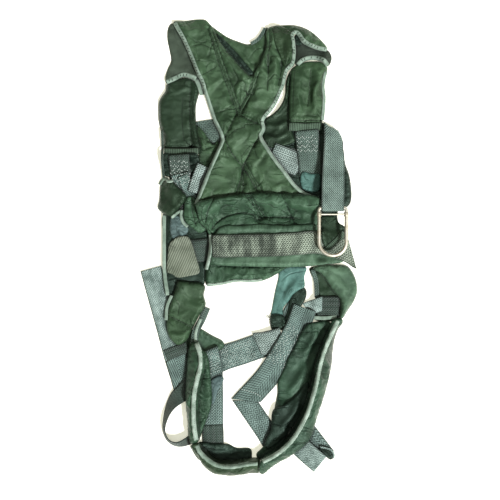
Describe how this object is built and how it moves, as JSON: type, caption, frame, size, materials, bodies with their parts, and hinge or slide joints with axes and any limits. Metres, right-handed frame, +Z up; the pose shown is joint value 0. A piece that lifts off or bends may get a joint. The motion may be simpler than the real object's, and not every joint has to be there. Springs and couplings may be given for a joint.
{
  "type": "safety harness",
  "caption": "Full-body parachute harness laid flat, back up: quilted back and shoulder pads, waist belt, leg straps, padded saddle and a swinging steel ring.",
  "frame": {"origin": "under the middle of the harness, on the surface that it lies on", "axes": "+X across the back towards the side with the steel ring, +Y from the legs to the shoulders, +Z up, out of the wearer's back"},
  "size_m": [0.4204, 0.887, 0.0408],
  "materials": {
    "cover": "dark green nylon cloth with a soft sheen",
    "dark_cloth": "very dark green nylon cloth in shadow folds",
    "lining": "matt grey-green woven lining",
    "teal_cloth": "faded blue-green nylon cloth",
    "canvas": "plain beige canvas",
    "webbing": "sage-green woven nylon webbing",
    "belt_webbing": "pale grey-green woven webbing",
    "tape": "pale grey-green binding tape with a stitched line",
    "foam": "plain foam sheet",
    "steel": "plated steel, slightly yellow, satin"
  },
  "bodies": {
    "harness": {"front_sleeve_left": "cover", "main_web_left": "webbing", "front_sleeve_right": "cover", "main_web_right": "webbing", "front_hem_left": "cover", "front_hem_right": "cover", "shoulder_lining_left": "lining", "shoulder_lining_right": "lining", "collar_flap": "cover", "back_pad_cover": "cover", "back_pad_foam": "foam", "lumbar_pad_cover": "cover", "lumbar_pad_foam": "foam", "belt_carrier": "cover", "waist_belt": "belt_webbing", "belt_tail_left": "webbing", "belt_patch_left": "canvas", "pocket_flap_left": "cover", "side_panel_left": "dark_cloth", "hip_web_left": "webbing", "back_strap_left": "webbing", "chest_web_left": "webbing", "chest_web_right": "webbing", "ring_strap": "webbing", "pocket_flap_right": "dark_cloth", "web_wrap_right": "teal_cloth", "ring_backing": "dark_cloth", "hip_cup_right": "cover", "hip_cloth_right": "dark_cloth", "hip_web_right": "webbing", "leg_strap_end": "webbing", "lap_sleeve": "teal_cloth", "lap_web": "webbing", "hip_cup_left": "cover", "leg_junction_left": "cover", "leg_cross_web": "webbing", "leg_diagonal_web": "webbing", "leg_lower_web": "webbing", "leg_web_left": "webbing", "saddle_roll_left": "cover", "saddle_roll_bottom": "cover", "saddle_roll_right": "cover", "saddle_lining_left": "cover", "saddle_lining_bottom": "dark_cloth", "saddle_lining_right": "dark_cloth", "leg_tail_left": "webbing", "leg_tail_right": "belt_webbing", "binding_back_left": "tape", "binding_back_right": "tape", "binding_skirt": "tape", "binding_sleeve_right": "tape", "binding_saddle_left": "tape", "binding_saddle_bottom": "tape", "binding_saddle_right": "tape"},
    "ring": {"ring_frame": "steel"},
    "ring_bar": {"friction_bar": "steel"}
  },
  "joints": [
    {"name": "ring_swing", "type": "hinge", "parent": "harness", "child": "ring", "pos_m": [0.16076, 0.0745, 0.03], "axis": [-1, 0, 0], "range_deg": [0, 135]},
    {"name": "friction_bar_slide", "type": "slide", "parent": "ring", "child": "ring_bar", "axis": [0, 1, 0], "range_m": [-0.035, 0]}
  ]
}
